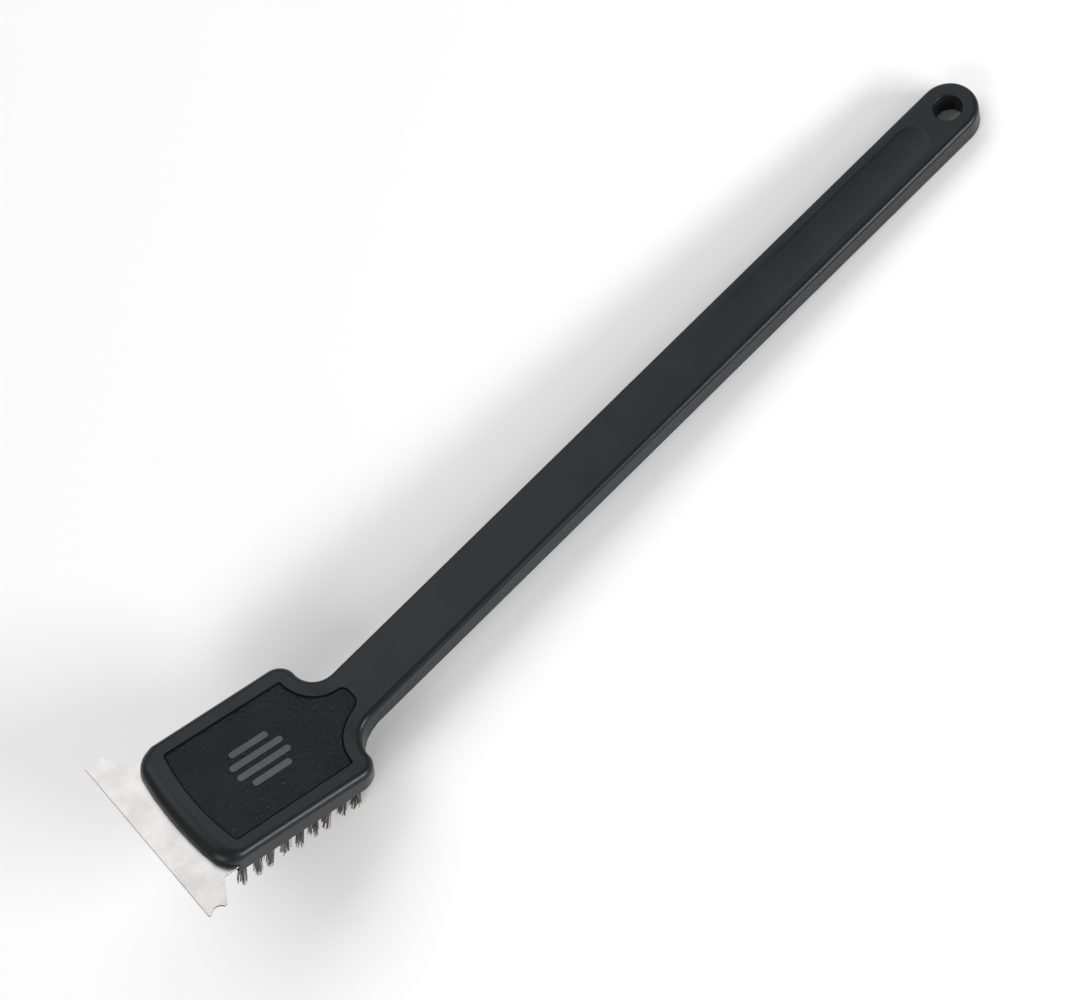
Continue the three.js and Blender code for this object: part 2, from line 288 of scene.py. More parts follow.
LEAN = math.asin((HEAD_HALF - CORNER_R) / (FRONT_R - CORNER_R))
CORNER_X = FRONT_X + FRONT_R - (FRONT_R - CORNER_R) * math.cos(LEAN)
FLARE = math.atan2(EAR_HALF - HEAD_HALF, EAR_X - CORNER_X)
EAR_Y = EAR_HALF - EAR_R
NECK_Y = NECK_HALF + NECK_R
NECK_S = EAR_X + math.sqrt((EAR_R + NECK_R) ** 2 - (NECK_Y - EAR_Y) ** 2)
EAR_TURN = math.atan2(NECK_Y - EAR_Y, NECK_S - EAR_X)


def with_round(points, start, stop):
    """Adds the radius of the top edge to each point, changing evenly along them."""
    last = len(points) - 1
    return [[*p, start + (stop - start) * i / last] for i, p in enumerate(points)]


def moulding_half():
    """Left half of the moulding's outline, each point with the radius of its top edge."""
    skirt = math.acos((SKIRT_X - CORNER_X) / CORNER_R)
    corner = chain(
        arc(CORNER_X, HEAD_HALF - CORNER_R, CORNER_R, math.pi - LEAN, skirt, 26),
        arc(CORNER_X, HEAD_HALF - CORNER_R, CORNER_R, skirt, math.pi / 2 + FLARE, 24),
    )
    ear = arc(EAR_X, EAR_Y, EAR_R, math.pi / 2 + FLARE, EAR_TURN, 40)
    neck = arc(NECK_S, NECK_Y, NECK_R, math.pi + EAR_TURN, 1.5 * math.pi, 50, -1)
    end = arc(HOLE_S, 0, END_HALF, math.pi / 2, 0, 40)
    front = arc(FRONT_X + FRONT_R, 0, FRONT_R, math.pi, math.pi - LEAN, 24)
    return chain(
        with_round(front, FRONT_ROUND, FRONT_ROUND),
        with_round(corner, FRONT_ROUND, SIDE_ROUND),
        with_round(ear, SIDE_ROUND, SIDE_ROUND),
        with_round(neck, SIDE_ROUND, HANDLE_ROUND),
        with_round(end, HANDLE_ROUND, HANDLE_ROUND),
    )


def panel_half(grow):
    """Left half of the sunken panel, grown by a distance."""
    inner = PANEL_HALF - PANEL_CORNER_R
    lean = math.asin(inner / (PANEL_FRONT_R - PANEL_CORNER_R))
    centre = PANEL_FRONT + PANEL_FRONT_R
    corner_s = centre - (PANEL_FRONT_R - PANEL_CORNER_R) * math.cos(lean)
    front = arc(centre, 0, PANEL_FRONT_R + grow, math.pi, math.pi - lean, 16)
    corner = arc(corner_s, inner, PANEL_CORNER_R + grow, math.pi - lean, math.pi / 2, 10)
    ear_y = PANEL_HALF - PANEL_EAR_R
    ear_s = NECK_S - math.sqrt((PANEL_NECK_R + PANEL_EAR_R) ** 2 - (NECK_Y - ear_y) ** 2)
    lean = math.atan2(NECK_Y - ear_y, NECK_S - ear_s)
    ear = arc(ear_s, ear_y, PANEL_EAR_R + grow, math.pi / 2, lean, 8)
    side = NECK_Y - PANEL_TIP_Y
    ahead = NECK_S - PANEL_TIP_S
    tip_r = (ahead**2 + side**2 - PANEL_NECK_R**2) / (2 * (PANEL_NECK_R - ahead))
    tip_s = PANEL_TIP_S - tip_r
    turn = math.atan2(side, NECK_S - tip_s)
    neck = arc(NECK_S, NECK_Y, PANEL_NECK_R - grow, math.pi + lean, math.pi + turn, 36, -1)
    tip = arc(tip_s, PANEL_TIP_Y, tip_r + grow, turn, 0, 18)
    return chain(front, corner, ear, neck, tip)


def dish_half(grow):
    """Left half of the thumb hollow, a long stadium that runs out towards the head."""
    end = arc(DISH_END - DISH_HALF, 0, DISH_HALF + grow, math.pi / 2, 0, 24)
    return chain([[DISH_START, DISH_HALF + grow, 0, 1]], end)


def pocket_half(clear, end=POCKET_END):
    """Left half of the pocket under the head, or of what stands in it with some clearance."""
    half = HEAD_HALF - WALL - clear
    return chain(
        [[SKIRT_X + clear, half, 0, 1]],
        arc(end - POCKET_R, half - POCKET_R, POCKET_R, math.pi / 2, 0, 16),
    )


def inside(points, loop):
    """Which of the points lie inside a closed loop."""
    x, y = points[:, 0], points[:, 1]
    poly = np.array([(p[0], p[1]) for p in loop])
    hit = np.zeros(len(points), bool)
    for (ax, ay), (bx, by) in zip(poly, np.roll(poly, -1, 0)):
        if ay == by:
            continue
        cross = (ay > y) != (by > y)
        hit ^= cross & (x < ax + (bx - ax) * (y - ay) / (by - ay))
    return hit


GRID_S = 0.9
GRID_Y = 1.6


def bend_grid(half):
    """Points spread over the curved part of the plate, so that its faces follow the bend."""
    out = []
    s = BEND_START - GRID_S
    while s < BEND_END + GRID_S:
        y = -half
        while y <= half:
            out.append((s, y))
            y += GRID_Y
        s += GRID_S
    return out


SLIVER = 1e-5  # square mm; thinner triangles lie along a straight edge, outside the region


def area(a, b, c):
    return abs((b[0] - a[0]) * (c[1] - a[1]) - (b[1] - a[1]) * (c[0] - a[0])) / 2


def level(loop, height, normal):
    """A ring for fill() that lies flat at one height."""
    return loop, [height] * len(loop), [normal] * len(loop)


def fill(skin, outer, holes, rings, flat=(), slot_of=None):
    """Triangulates the region inside outer and outside holes. rings are (loop, heights, normals)
    and don't cross each other; flat holds more (point, height) pairs, which face as the first ring."""
    coords, edges, data = [], [], []

    def loop_in(loop, heights, normals):
        base = len(coords)
        for i, p in enumerate(loop):
            coords.append(Vector((p[0], p[1])))
            data.append((heights[i], normals[i]))
            edges.append((base + i, base + (i + 1) % len(loop)))

    for loop, heights, normals in rings:
        loop_in(loop, heights, normals)
    up = rings[0][2][0]
    for p, h in flat:
        coords.append(Vector(p))
        data.append((h, up))
    out = delaunay_2d_cdt(coords, edges, [], 0, 1e-5)
    verts, tris, origin = out[0], out[2], out[3]
    tris = [t for t in tris if area(*(verts[i] for i in t)) > SLIVER]
    centre = np.array([np.mean([verts[i][:] for i in t], axis=0) for t in tris])
    keep = inside(centre, outer)
    for hole in holes:
        keep &= ~inside(centre, hole)
    slots = slot_of(centre) if slot_of else np.zeros(len(centre), int)
    for k, tri in enumerate(tris):
        if not keep[k]:
            continue
        pts, nrm = [], []
        for i in tri:
            h, n = data[origin[i][0]]
            pts.append((verts[i][0], verts[i][1], h))
            nrm.append(n)
        skin.face(pts, nrm, int(slots[k]))


def smooth(t):
    t = min(max(t, 0), 1)
    return t * t * (3 - 2 * t)


def smooth_slope(t):
    return 6 * t * (1 - t)


def step_rings(half_at, depth_at, profile):
    """Rings down into a hollow: (loop, heights, normals). profile gives, at distances out from the
    outline, the share of the depth and the slope."""
    rings = []
    for grow, share, slope in profile:
        loop = both_sides(half_at(grow))
        heights = [-depth_at(p[0]) * share for p in loop]
        normals = []
        for p in loop:
            steep = slope * depth_at(p[0])
            normals.append((-p[2] * steep, -p[3] * steep, 1))
        rings.append((loop, heights, normals))
    return rings


def grooved():
    """Section of the panel's edge: a drafted step down into a shallow groove."""
    out = []
    for k in range(9):
        t = k / 8
        slope = GROOVE_SHARE * smooth_slope(t) / STEP_WIDTH
        out.append((STEP_WIDTH * (0.5 - t), GROOVE_SHARE * smooth(t), slope))
    width = GROOVE_WIDTH - STEP_WIDTH / 2
    rise = GROOVE_SHARE - 1
    for k in range(1, 7):
        t = k / 6
        slope = -rise * smooth_slope(t) / width
        out.append((-STEP_WIDTH / 2 - width * t, GROOVE_SHARE - rise * smooth(t), slope))
    return out


def scooped():
    """Section of the thumb hollow: a soft step, then a shallow scoop to the middle."""
    out = []
    for k in range(8):
        t = k / 8
        slope = DISH_STEP_SHARE * smooth_slope(t) / DISH_STEP
        out.append((-DISH_STEP * t, DISH_STEP_SHARE * smooth(t), slope))
    width = DISH_HALF - DISH_STEP - DISH_MIDDLE
    rest = 1 - DISH_STEP_SHARE
    for k in range(1, 10):
        t = k / 9
        share = DISH_STEP_SHARE + rest * (1 - (1 - t) ** 2)
        out.append((-DISH_STEP - width * t, share, 2 * rest * (1 - t) / width))
    return out


# ---------------------------------------------------------------- materials
def nodes_of(name):
    material = bpy.data.materials.new(name)
    material.use_nodes = True
    tree = material.node_tree
    return material, tree, tree.nodes["Principled BSDF"]


def noise(tree, coords, scale, detail=3, stretch=(1, 1, 1)):
    mapping = tree.nodes.new("ShaderNodeMapping")
    mapping.inputs["Scale"].default_value = stretch
    tree.links.new(coords, mapping.inputs["Vector"])
    node = tree.nodes.new("ShaderNodeTexNoise")
    node.inputs["Scale"].default_value = scale
    node.inputs["Detail"].default_value = detail
    tree.links.new(mapping.outputs["Vector"], node.inputs["Vector"])
    return node.outputs["Fac"]


def object_coords(tree):
    return tree.nodes.new("ShaderNodeTexCoord").outputs["Object"]


def ramp(tree, value, low, high, colour_low, colour_high):
    node = tree.nodes.new("ShaderNodeValToRGB")
    first, last = node.color_ramp.elements
    first.position, last.position = low, high
    first.color = (*colour_low, 1)
    last.color = (*colour_high, 1)
    tree.links.new(value, node.inputs["Fac"])
    return node.outputs["Color"]


def spread(tree, value, low, high):
    node = tree.nodes.new("ShaderNodeMapRange")
    node.inputs["To Min"].default_value = low
    node.inputs["To Max"].default_value = high
    tree.links.new(value, node.inputs["Value"])
    return node.outputs["Result"]


def bump(tree, height, distance, strength, under=None):
    node = tree.nodes.new("ShaderNodeBump")
    node.inputs["Distance"].default_value = distance
    node.inputs["Strength"].default_value = strength
    tree.links.new(height, node.inputs["Height"])
    if under:
        tree.links.new(under, node.inputs["Normal"])
    return node.outputs["Normal"]


def plastic(name, dark, light, rough, grain_scale, grain_height, coarse=None, gloss=0.28):
    material, tree, shader = nodes_of(name)
    coords = object_coords(tree)
    tone = noise(tree, coords, 60, 4)
    tree.links.new(ramp(tree, tone, 0.3, 0.7, dark, light), shader.inputs["Base Color"])
    tree.links.new(spread(tree, noise(tree, coords, 240, 4), *rough), shader.inputs["Roughness"])
    shader.inputs["Specular IOR Level"].default_value = gloss
    shader.inputs["Specular Tint"].default_value = (0.80, 0.92, 1, 1)
    relief = bump(tree, noise(tree, coords, grain_scale, 2), grain_height, 1)
    if coarse:
        scale, height = coarse
        relief = bump(tree, noise(tree, coords, scale, 1.5), height, 1, relief)
    tree.links.new(relief, shader.inputs["Normal"])
    return material


def metal(name, dark, light, rough, scale, stretch, relief_height, spots=90, waviness=0):
    """Bare metal: streaks along one way, cloudy patches in colour and gloss."""
    material, tree, shader = nodes_of(name)
    coords = object_coords(tree)
    streaks = noise(tree, coords, scale, 3, stretch)
    patches = noise(tree, coords, spots, 5)
    tree.links.new(ramp(tree, patches, 0.35, 0.65, dark, light), shader.inputs["Base Color"])
    tree.links.new(spread(tree, patches, *rough), shader.inputs["Roughness"])
    shader.inputs["Metallic"].default_value = 1
    relief = bump(tree, streaks, relief_height, 0.6)
    if waviness:
        relief = bump(tree, noise(tree, coords, 2 * spots, 2), waviness, 1, relief)
    tree.links.new(relief, shader.inputs["Normal"])
    return material


PLAIN = (1, 1, 1)
ACROSS = (1, 0.05, 1)  # streaks that run from side to side
ALONG = (1, 1, 0.2)  # streaks that run up and down a wire

body_plastic = plastic(
    "black_moulding",
    dark=(0.006, 0.0066, 0.007),
    light=(0.009, 0.0098, 0.0103),
    rough=(0.30, 0.40),
    grain_scale=2600,
    grain_height=0.00004,
)
panel_plastic = plastic(
    "grained_panel",
    dark=(0.005, 0.0055, 0.006),
    light=(0.009, 0.0098, 0.0103),
    rough=(0.40, 0.62),
    grain_scale=2400,
    grain_height=0.00006,
    coarse=(640, 0.0014),
    gloss=0.24,
)
block_plastic = plastic(
    "block_moulding",
    dark=(0.008, 0.008, 0.009),
    light=(0.012, 0.012, 0.013),
    rough=(0.5, 0.7),
    grain_scale=1800,
    grain_height=0.00004,
)
# Darker colour in the panel's groove: painted shade, standing in for the shadow at the foot of the step.
groove_shade_plastic = plastic(
    "panel_groove_painted_shade",
    dark=(0.003, 0.0033, 0.0036),
    light=(0.005, 0.0055, 0.006),
    rough=(0.5, 0.65),
    grain_scale=2400,
    grain_height=0.00006,
    gloss=0.1,
)
print_grey = plastic(
    "grey_marking",
    dark=(0.055, 0.062, 0.066),
    light=(0.075, 0.083, 0.088),
    rough=(0.5, 0.65),
    grain_scale=2200,
    grain_height=0.00003,
)
sheet_steel = metal(
    "brushed_sheet",
    dark=(0.47, 0.46, 0.445),
    light=(0.62, 0.61, 0.60),
    rough=(0.26, 0.44),
    scale=2600,
    stretch=ACROSS,
    relief_height=0.000004,
    spots=110,
    waviness=0.00012,
)
# Sheared edge of the scraper: rougher steel, and coloured dark as painted shade along the sheet's thin
# edge walls.
edge_shade_steel = metal(
    "sheared_edge_painted_shade",
    dark=(0.12, 0.10, 0.08),
    light=(0.30, 0.26, 0.22),
    rough=(0.35, 0.55),
    scale=1500,
    stretch=PLAIN,
    relief_height=0.00002,
)
zinc = metal(
    "zinc_screws",
    dark=(0.45, 0.45, 0.44),
    light=(0.62, 0.62, 0.60),
    rough=(0.25, 0.4),
    scale=900,
    stretch=PLAIN,
    relief_height=0.00001,
)
wire_steel = metal(
    "drawn_wire",
    dark=(0.05, 0.045, 0.041),
    light=(0.20, 0.18, 0.162),
    rough=(0.35, 0.55),
    scale=500,
    stretch=ALONG,
    relief_height=0.00001,
)


# ---------------------------------------------------------------- moulding
TOP_STEPS = 12  # facets round the top edge
BOTTOM_STEPS = 6  # facets round the bottom edge
HOLE_SIDES = 64
UP = (0, 0, 1)
DOWN = (0, 0, -1)
NEAR = 1e-6


def edge_ring(loop, angle, height, sign, radius=None):
    """Points and normals round an edge: angle 0 on the wall, 90 degrees on the face. sign is 1 on a
    top edge and -1 on a bottom one. Without a radius, each point of the loop brings its own."""
    c, k = math.cos(angle), math.sin(angle)
    points, normals = [], []
    for p in loop:
        r = p[4] if radius is None else radius
        inward = r * (1 - c)
        points.append((p[0] - p[2] * inward, p[1] - p[3] * inward, height - sign * r * (1 - k)))
        normals.append((p[2] * c, p[3] * c, sign * k))
    return points, normals


def wall_and_skirt(skin, loop, top_row, skirt, lip):
    """Side wall and bottom edge, for the skirt and for the lip over the scraper."""
    angles = [90 * DEG * i / BOTTOM_STEPS for i in range(BOTTOM_STEPS + 1)]
    for part, r, floor in ((skirt, BOTTOM_ROUND, -PLATE), (lip, LIP_ROUND, LIP_Z)):
        rows = [top_row, *(edge_ring(loop, a, floor, -1, r) for a in angles)]
        if part is skirt:  # a row at the lip's own edge, so that the two meet point to point
            rows.insert(1, edge_ring(loop, 0, LIP_Z + LIP_ROUND, -1, 0))
        for (a, na), (b, nb) in zip(rows, rows[1:]):
            skin.strip(*([row[i] for i in part] for row in (a, b, na, nb)))
    for i in (skirt[0], skirt[-1]):  # front faces of the skirt
        inner = math.copysign(HEAD_HALF - WALL, loop[i][1])
        above = [edge_ring(loop, a, LIP_Z, -1, LIP_ROUND)[0][i] for a in angles]
        below = [edge_ring(loop, a, -PLATE, -1, BOTTOM_ROUND)[0][i] for a in angles]
        points = [*above, (SKIRT_X, inner, LIP_Z), (SKIRT_X, inner, -PLATE), *reversed(below)]
        skin.face(points, [(-1, 0, 0)] * len(points))


def top_slots(centres):
    """Material slots: 0 on the moulding, 1 on the panel, 2 in its groove, which is coloured darker as
    painted shade.
    """
    in_groove_shade = inside(centres, both_sides(panel_half(STEP_WIDTH / 2)))
    on_panel = inside(centres, both_sides(panel_half(-GROOVE_WIDTH * 0.9)))
    return 2 * in_groove_shade.astype(int) - on_panel.astype(int)


def dish_depth(s):
    return DISH_DEPTH * max(s - DISH_START, 0) / (DISH_END - DISH_START)


def top_face(skin, rim, hole, grid):
    """Top face with the sunken panel and the thumb hollow. Grid points keep clear of every ring."""
    clear = 0.25
    free = inside(grid, [(p[0] - 0.3 if p[0] > 0 else p[0], p[1] * 0.985) for p in rim])
    in_panel = inside(grid, both_sides(panel_half(-GROOVE_WIDTH - clear)))
    off_panel = ~inside(grid, both_sides(panel_half(STEP_WIDTH / 2 + clear)))
    flat = [(tuple(p), -PANEL_DEPTH) for p in grid[free & in_panel]]
    flat += [(tuple(p), 0) for p in grid[free & off_panel]]
    panel = step_rings(panel_half, lambda s: PANEL_DEPTH, grooved())
    dish = step_rings(dish_half, dish_depth, scooped())
    rings = [level(rim, 0, UP), level(hole, 0, UP), *panel, *dish]
    fill(skin, rim, [hole], rings, flat, top_slots)


def hanging_hole(skin):
    """Wall of the hanging hole, with both rims rounded over."""
    upper = []
    for a in (90, 72, 54, 36, 18, 0):
        c, k = math.cos(a * DEG), math.sin(a * DEG)
        upper.append((HOLE_R + HOLE_ROUND * (1 - c), -HOLE_ROUND * (1 - k), (-c, k)))
    lower = [(r, -PLATE - n, (out, -up)) for r, n, (out, up) in reversed(upper)]
    turned(skin, upper + lower, HOLE_S, 0, HOLE_SIDES)


def underside(skin, loop, hole, skirt, lip, grid):
    """Face under the skirt and the handle, the pocket's wall, and its ceiling with the lip."""
    low = edge_ring(loop, math.pi / 2, -PLATE, -1, BOTTOM_ROUND)[0]
    pocket = both_sides(pocket_half(0))
    under = [low[i] for i in skirt] + [(p[0], p[1]) for p in reversed(pocket)]
    beyond = grid[grid[:, 0] > POCKET_END + 0.5]
    beyond = beyond[inside(beyond, [(p[0], p[1] * 0.98) for p in under])]
    flat = [(tuple(p), -PLATE) for p in beyond]
    fill(skin, under, [hole], [level(under, -PLATE, DOWN), level(hole, -PLATE, DOWN)], flat)
    high, foot = ([(p[0], p[1], z) for p in pocket] for z in (LIP_Z, -PLATE))
    inward = [(-p[2], -p[3], 0) for p in pocket]
    skin.strip(high, foot, inward, inward)
    lip_low = edge_ring(loop, math.pi / 2, LIP_Z, -1, LIP_ROUND)[0]
    ceiling = [lip_low[i] for i in lip] + [(p[0], p[1]) for p in pocket]
    fill(skin, ceiling, [], [level(ceiling, LIP_Z, DOWN)])


def make_moulding():
    skin = Skin(bent=True)
    loop = both_sides(moulding_half())
    rows = [edge_ring(loop, 90 * DEG * (1 - i / TOP_STEPS), 0, 1) for i in range(TOP_STEPS + 1)]
    skin.stack(rows)
    behind = [i for i, p in enumerate(loop) if p[0] >= SKIRT_X - NEAR]
    skirt = list(range(behind[0], behind[-1] + 1))
    lip = [*range(behind[-1], len(loop)), *range(behind[0] + 1)]
    wall_and_skirt(skin, loop, rows[-1], skirt, lip)
    hole = round_loop(HOLE_S, 0, HOLE_R + HOLE_ROUND, HOLE_SIDES)
    grid = np.array(bend_grid(EAR_HALF))
    top_face(skin, rows[0][0], hole, grid)
    hanging_hole(skin)
    underside(skin, loop, hole, skirt, lip, grid)
    piece = skin.build("moulding", [body_plastic, panel_plastic, groove_shade_plastic])
    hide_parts("handle_and_head")
    return piece


# ---------------------------------------------------------------- raised marking
BAR_WIDTH = 2.9
BAR_STEP = 5.3
BAR_X = 30.5
BAR_LENGTHS = (19, 26, 26, 19)
BAR_HEIGHT = 0.3
BAR_FILLET = 0.14
BAR_SUNK = 0.02  # how far its foot goes into the panel's floor


def make_marking():
    """Four rounded bars of a grill grate, raised from the panel's floor."""
    skin = Skin()
    for k, length in enumerate(BAR_LENGTHS):
        y = (k - 1.5) * BAR_STEP
        r = BAR_WIDTH / 2
        reach = length / 2 - r
        loop = arc(BAR_X + reach, y, r, -math.pi / 2, math.pi / 2, 20)
        loop += arc(BAR_X - reach, y, r, math.pi / 2, 1.5 * math.pi, 20)
        top = BAR_HEIGHT - PANEL_DEPTH
        levels = [(0, -PANEL_DEPTH - BAR_SUNK, 0)]
        for a in (0, 30 * DEG, 60 * DEG, 90 * DEG):
            levels.append((BAR_FILLET * (1 - math.cos(a)), top - BAR_FILLET * (1 - math.sin(a)), a))
        rows = []
        for d, n, a in levels:
            points = [(p[0] - p[2] * d, p[1] - p[3] * d, n) for p in loop]
            rows.append((points, [(p[2] * math.cos(a), p[3] * math.cos(a), math.sin(a)) for p in loop]))
        skin.stack(rows)
        skin.face(rows[-1][0], [UP] * len(loop))
        skin.face(rows[0][0], [DOWN] * len(loop))
    piece = skin.build("marking_bars", [print_grey])
    return piece


# ---------------------------------------------------------------- scraper
SCRAPER_EDGE = 0.09  # softening of its sheared edges
SCRAPER_TIP_R = 0.5
FIN_R = 0.45
FIN_LEAN = -0.35  # where the fin's rounding ends, in radians
SHOULDER_STEP = 0.6


def scraper_side():
    """Left edge of the scraper as points, front to rear."""
    centre = SCRAPER_HALF - NOTCH_DEPTH + NOTCH_R
    reach = math.acos((centre - SCRAPER_HALF) / NOTCH_R)
    quarter = math.pi / 2
    tip = (SCRAPER_FRONT + SCRAPER_TIP_R, SCRAPER_HALF - SCRAPER_TIP_R, SCRAPER_TIP_R)
    curves = [
        arc(*tip, math.pi, quarter, 5),
        arc(NOTCH_X, centre, NOTCH_R, -quarter - reach, -quarter + reach, 20),
        arc(FIN_X - FIN_R, SCRAPER_HALF - FIN_R, FIN_R, quarter, FIN_LEAN, 6),
    ]
    return [(p[0], p[1]) for curve in curves for p in curve] + [
        (SHOULDER_X, SHOULDER_HALF),
        (SHOULDER_X + SHOULDER_STEP, SHOULDER_HALF),
        (SKIRT_X - GAP, SHOULDER_HALF),
        (SKIRT_X - GAP, TANG_HALF),
        (TANG_END, TANG_HALF),
    ]


def mitred(points):
    """(x, y, nx, ny, stretch, nx and ny of the side that follows) for a closed loop that runs
    clockwise seen from above; moved in by stretch along its normal, a corner keeps its sides even."""
    out = []
    count = len(points)
    for i, (x, y) in enumerate(points):
        ax, ay = points[i - 1]
        bx, by = points[(i + 1) % count]
        d1 = unit((x - ax, y - ay, 0))
        d2 = unit((bx - x, by - y, 0))
        n1, n2 = (-d1[1], d1[0]), (-d2[1], d2[0])
        m = unit((n1[0] + n2[0], n1[1] + n2[1], 0))
        stretch = 1 / max(0.5, m[0] * n1[0] + m[1] * n1[1])
        out.append((x, y, m[0], m[1], stretch, n2))
    return out


def moved_in(loop, distance):
    return [(p[0] - p[2] * distance * p[4], p[1] - p[3] * distance * p[4]) for p in loop]


def sheet(skin, outline, holes, top, bottom, edge):
    """A flat sheet with softened edges: outline and holes are closed loops of points."""
    faces = []
    for loop in (outline, *holes):
        m = mitred(loop)
        inner = moved_in(m, edge)
        count = len(m)
        for i in range(count):
            j = (i + 1) % count
            a, b = m[i][:2], m[j][:2]
            wall = (*m[i][5], 0)
            high, low = top - edge, bottom + edge
            # Slot 1 on the edge walls: their darker colour is painted shade.
            skin.face([(*a, high), (*b, high), (*b, low), (*a, low)], [wall] * 4, 1)
            for start, end, way in ((high, top, UP), (low, bottom, DOWN)):
                slant = (wall[0], wall[1], way[2])
                points = [(*a, start), (*b, start), (*inner[j], end), (*inner[i], end)]
                skin.face(points, [slant, slant, way, way])
        faces.append(inner)
    for height, way in ((top, UP), (bottom, DOWN)):
        fill(skin, faces[0], faces[1:], [level(f, height, way) for f in faces])


def make_scraper():
    skin = Skin()
    left = scraper_side()
    outline = left + [(x, -y) for x, y in reversed(left)]
    holes = [round_loop(SCREW_X[0], side * SCREW_Y, SHANK_R + GAP, 32) for side in (1, -1)]
    sheet(skin, outline, holes, SCRAPER_TOP, SCRAPER_TOP - SCRAPER_T, SCRAPER_EDGE)
    piece = skin.build("scraper_sheet", [sheet_steel, edge_shade_steel])
    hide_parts("scraper_blade")
    return piece


# ---------------------------------------------------------------- tuft places
def tuft_places():
    """Name and place of each tuft. The second row from either side leaves room for the screws."""
    out = []
    for row in range(ROWS):
        short = row in (1, ROWS - 2)
        first = FIRST_X + (PITCH if short else 0)
        y = (row - (ROWS - 1) / 2) * ROW_STEP
        for i in range(7 if short else 9):
            out.append((f"tuft_{row + 1}_{i + 1}", first + i * PITCH, y))
    return out


# ---------------------------------------------------------------- bristle block
BLOCK_EDGE = 0.5
BLOCK_EDGE_STEPS = 4
SOCKET_RIM = 0.25
BLOCK_STEP_X = TANG_END + GAP
TANG_SEAT = BLOCK_TOP - SCRAPER_T - GAP  # top of the block where the scraper's tang lies on it


def turned(skin, levels, x, y, sides, capped=False):
    """Rings about the vertical through (x, y): levels are (radius, height, (outward, upward))."""
    rows = []
    for r, n, (outward, upward) in levels:
        points = [(*p, n) for p in round_loop(x, y, r, sides)]
        rows.append((points, [(*v, upward) for v in round_loop(0, 0, outward, sides)]))
    skin.stack(rows)
    if capped:
        skin.face(rows[-1][0], [DOWN] * sides)


def socket(skin, x, y, radius, ceiling, sides):
    """A blind hole in the block's underside with a softened rim. Returns the rim's loop."""
    levels = [
        (radius + SOCKET_RIM, BLOCK_BOTTOM, (-0.2, -1)),
        (radius, BLOCK_BOTTOM + SOCKET_RIM, (-1, -0.6)),
        (radius, ceiling, (-1, 0)),
    ]
    turned(skin, levels, x, y, sides, capped=True)
    return round_loop(x, y, radius + SOCKET_RIM, sides)


def block_wall(skin, outline):
    """Side walls, lower in front of the step, and the rounding under them."""
    count = len(outline)
    low = BLOCK_BOTTOM + BLOCK_EDGE
    for i in range(count):
        a, b = outline[i], outline[(i + 1) % count]
        high = TANG_SEAT if (a[0] + b[0]) / 2 < BLOCK_STEP_X - NEAR else BLOCK_TOP
        wall = [(a[0], a[1], high), (b[0], b[1], high), (b[0], b[1], low), (a[0], a[1], low)]
        if high == BLOCK_TOP and min(a[0], b[0]) < BLOCK_STEP_X + NEAR:
            corner = a if a[0] < b[0] else b  # a point at the step's foot
            wall.insert(2 if corner is b else 4, (corner[0], corner[1], TANG_SEAT))
        skin.face(wall, [(*a[5], 0)] * len(wall))
    rows = []
    for k in range(BLOCK_EDGE_STEPS + 1):
        a = k / BLOCK_EDGE_STEPS * math.pi / 2
        c, sine = math.cos(a), math.sin(a)
        height = BLOCK_BOTTOM + BLOCK_EDGE * (1 - sine)
        points = [(*p, height) for p in moved_in(outline, BLOCK_EDGE * (1 - c))]
        rows.append((points, [(p[2] * c, p[3] * c, -sine) for p in outline]))
    skin.stack(rows)


def make_block():
    skin = Skin()
    half = pocket_half(GAP, BLOCK_END)
    loop = both_sides([half[0], [BLOCK_STEP_X, half[0][1], 0, 1], *half[1:]])
    outline = mitred([(p[0], p[1]) for p in loop])
    block_wall(skin, outline)
    inner = moved_in(outline, BLOCK_EDGE)
    sockets = [socket(skin, x, y, TUFT_ROOT_R + GAP, TUFT_ROOT_Z + GAP, 24) for _, x, y in tuft_places()]
    seat = BLOCK_BOTTOM + SCREW_HEAD_H + GAP
    for x in SCREW_X:
        for side in (1, -1):
            sockets.append(socket(skin, x, side * SCREW_Y, SCREW_HEAD_R + GAP, seat, 40))
    fill(skin, inner, sockets, [level(p, BLOCK_BOTTOM, DOWN) for p in (inner, *sockets)])
    front = [p[:2] for p in outline if p[0] <= BLOCK_STEP_X + NEAR]
    back = [p[:2] for p in outline if p[0] >= BLOCK_STEP_X - NEAR]
    for part, height in ((front, TANG_SEAT), (back, BLOCK_TOP)):
        fill(skin, part, [], [level(part, height, UP)])
    y = half[0][1]
    low, high = ([(BLOCK_STEP_X, side * y, z) for side in (-1, 1)] for z in (TANG_SEAT, BLOCK_TOP))
    skin.face([*low, *reversed(high)], [(-1, 0, 0)] * 4)
    piece = skin.build("block_moulding", [block_plastic])
    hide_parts("bristle_block")
    return piece


# ---------------------------------------------------------------- screws
SCREW_SIDES = 48
SCREW_FLAT_R = 2.4  # where the domed face meets the rounded rim
SCREW_RING_R = 2.0
SCREW_DOME = 0.5
SCREW_RIM_H = 0.6
RECESS_ARM = 1.6
RECESS_HALF = 0.38
RECESS_DEPTH = 1.3
RECESS_FLOOR = 0.45  # size of the recess's floor, as a share of its mouth
CONE_Z = -4.6
POINT_Z = -2.6
POINT_R = 0.4


def dome_height(r):
    return BLOCK_BOTTOM + SCREW_DOME * (r / SCREW_HEAD_R) ** 2


def cross_loop(x, y, turn):
    """Mouth of the cross recess."""
    out = []
    for q in range(4):
        a = turn + q * math.pi / 2
        c, k = math.cos(a), math.sin(a)
        taper = RECESS_HALF * 0.8
        for u, v in ((RECESS_HALF, -RECESS_HALF), (RECESS_ARM, -taper), (RECESS_ARM, taper)):
            out.append((x + u * c - v * k, y + u * k + v * c))
    return out


